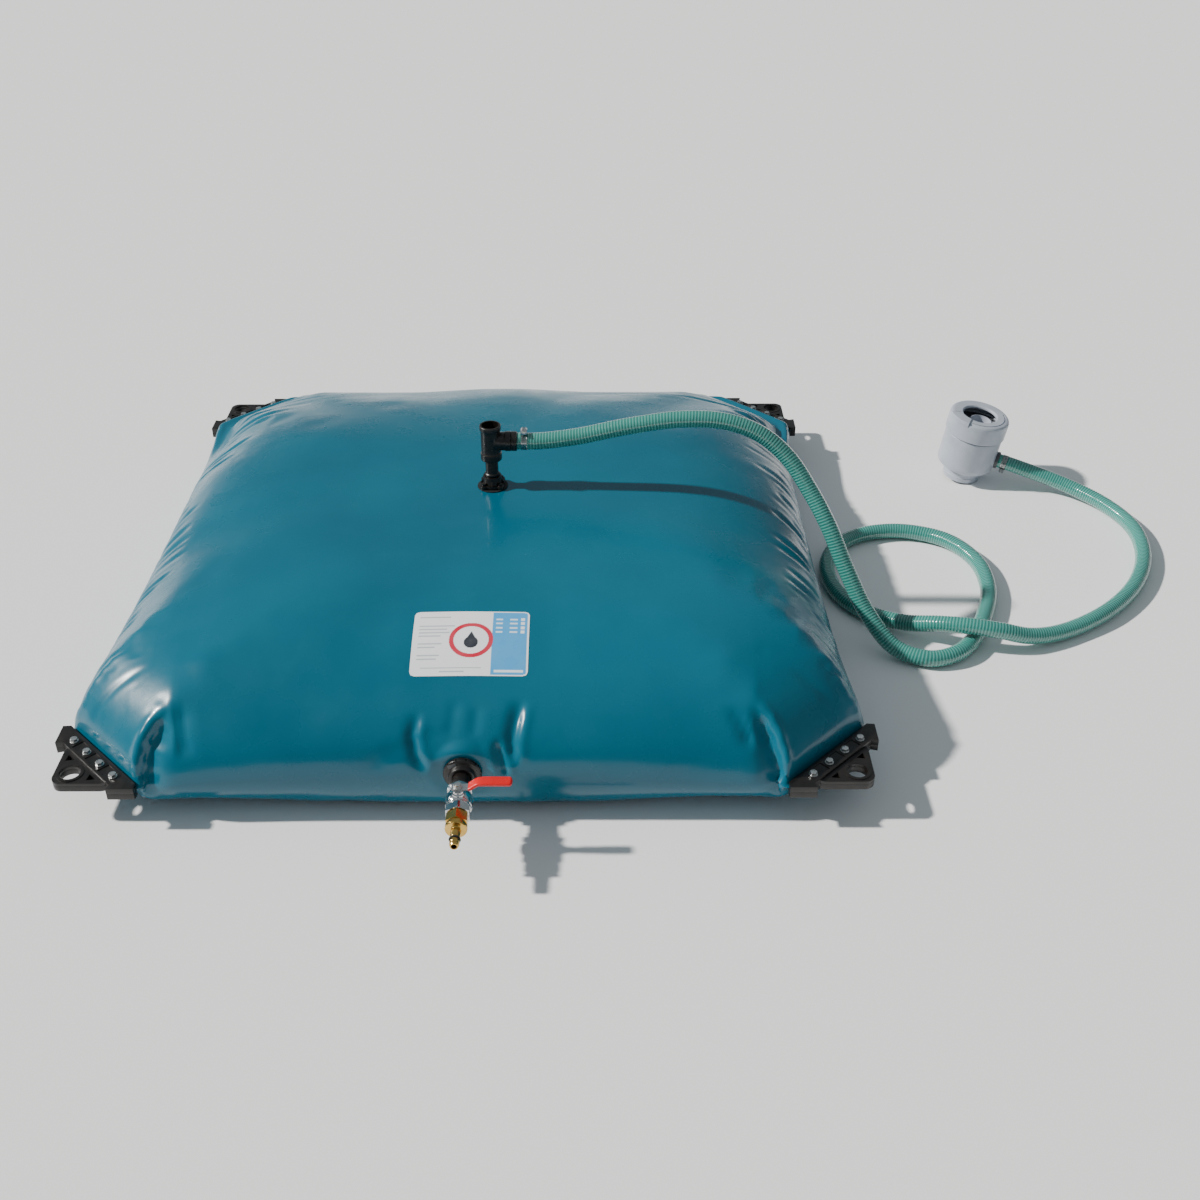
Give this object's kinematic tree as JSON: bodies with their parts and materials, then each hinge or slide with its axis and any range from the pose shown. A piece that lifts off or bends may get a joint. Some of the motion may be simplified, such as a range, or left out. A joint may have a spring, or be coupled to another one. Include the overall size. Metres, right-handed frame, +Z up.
{
  "type": "flexible rainwater storage bladder with inlet and outlet fittings",
  "caption": "Pillow-shaped water bladder with clamped corner plates, top inlet with overflow tee, spiral hose to a downpipe collector, and a front outlet with a lever ball valve.",
  "frame": {"origin": "on the ground under the middle of the bladder", "axes": "+Z up, -Y to the front where the outlet valve is, +X to the side of the hose and collector"},
  "size_m": [2.2703, 1.7178, 0.4525],
  "materials": {
    "coated_fabric": "teal PVC-coated polyester fabric, smooth and glossy",
    "black_plastic": "black-brown moulded plastic, slightly glossy",
    "zinc_steel": "zinc-plated",
    "stainless_steel": "bright rolled steel",
    "seal_rubber": "matt black rubber",
    "hose_plastic": "translucent green PVC with a rigid spiral",
    "chromed_brass": "polished chrome",
    "brass": "machined brass",
    "seat_plastic": "white fluoroplastic",
    "red_plastic": "dipped red plastic",
    "grey_plastic": "light grey moulded plastic",
    "dark_grey_plastic": "dark grey moulded plastic",
    "label_film": "printed white film"
  },
  "bodies": {
    "tank": {"bladder": "coated_fabric", "corner_plate_upper_front_right": "black_plastic", "corner_plate_lower_front_right": "black_plastic", "corner_bolt_front_right_1": "zinc_steel", "corner_bolt_front_right_2": "zinc_steel", "corner_bolt_front_right_3": "zinc_steel", "corner_bolt_front_right_4": "zinc_steel", "corner_plate_upper_front_left": "black_plastic", "corner_plate_lower_front_left": "black_plastic", "corner_bolt_front_left_1": "zinc_steel", "corner_bolt_front_left_2": "zinc_steel", "corner_bolt_front_left_3": "zinc_steel", "corner_bolt_front_left_4": "zinc_steel", "corner_plate_upper_back_right": "black_plastic", "corner_plate_lower_back_right": "black_plastic", "corner_bolt_back_right_1": "zinc_steel", "corner_bolt_back_right_2": "zinc_steel", "corner_bolt_back_right_3": "zinc_steel", "corner_bolt_back_right_4": "zinc_steel", "corner_plate_upper_back_left": "black_plastic", "corner_plate_lower_back_left": "black_plastic", "corner_bolt_back_left_1": "zinc_steel", "corner_bolt_back_left_2": "zinc_steel", "corner_bolt_back_left_3": "zinc_steel", "corner_bolt_back_left_4": "zinc_steel", "inlet_counter_flange": "black_plastic", "inlet_flange": "black_plastic", "inlet_riser": "black_plastic", "inlet_tee": "black_plastic", "inlet_hose_tail": "black_plastic", "outlet_counter_flange": "black_plastic", "outlet_flange": "black_plastic", "outlet_nipple": "black_plastic", "inlet_gasket": "seal_rubber", "outlet_gasket": "seal_rubber", "nose_o_ring": "seal_rubber", "inlet_clamp_band": "stainless_steel", "collector_clamp_band": "stainless_steel", "inlet_clamp_screw": "zinc_steel", "collector_clamp_screw": "zinc_steel", "hose": "hose_plastic", "valve_body": "chromed_brass", "valve_end": "chromed_brass", "brass_adapter": "brass", "brass_nose": "brass", "valve_seat_rear": "seat_plastic", "valve_seat_front": "seat_plastic", "collector_body": "grey_plastic", "overflow_stand_pipe": "grey_plastic", "collector_strainer": "dark_grey_plastic", "collector_hose_tail": "dark_grey_plastic", "label": "label_film"},
    "valve_handle": {"valve_lever": "stainless_steel", "lever_sleeve": "red_plastic", "lever_nut": "zinc_steel", "valve_stem": "brass", "valve_ball": "chromed_brass"},
    "collector_cap": {"collector_cap": "grey_plastic"}
  },
  "joints": [
    {"name": "valve_turn", "type": "hinge", "parent": "tank", "child": "valve_handle", "pos_m": [0, -0.832, 0.105], "axis": [0, 0, 1], "range_deg": [-90, 0]},
    {"name": "cap_twist", "type": "hinge", "parent": "tank", "child": "collector_cap", "pos_m": [1.18139, 0.50296, 0.15501], "axis": [0.1293, -0.0603, 0.9898], "range_deg": [0, 90]}
  ]
}
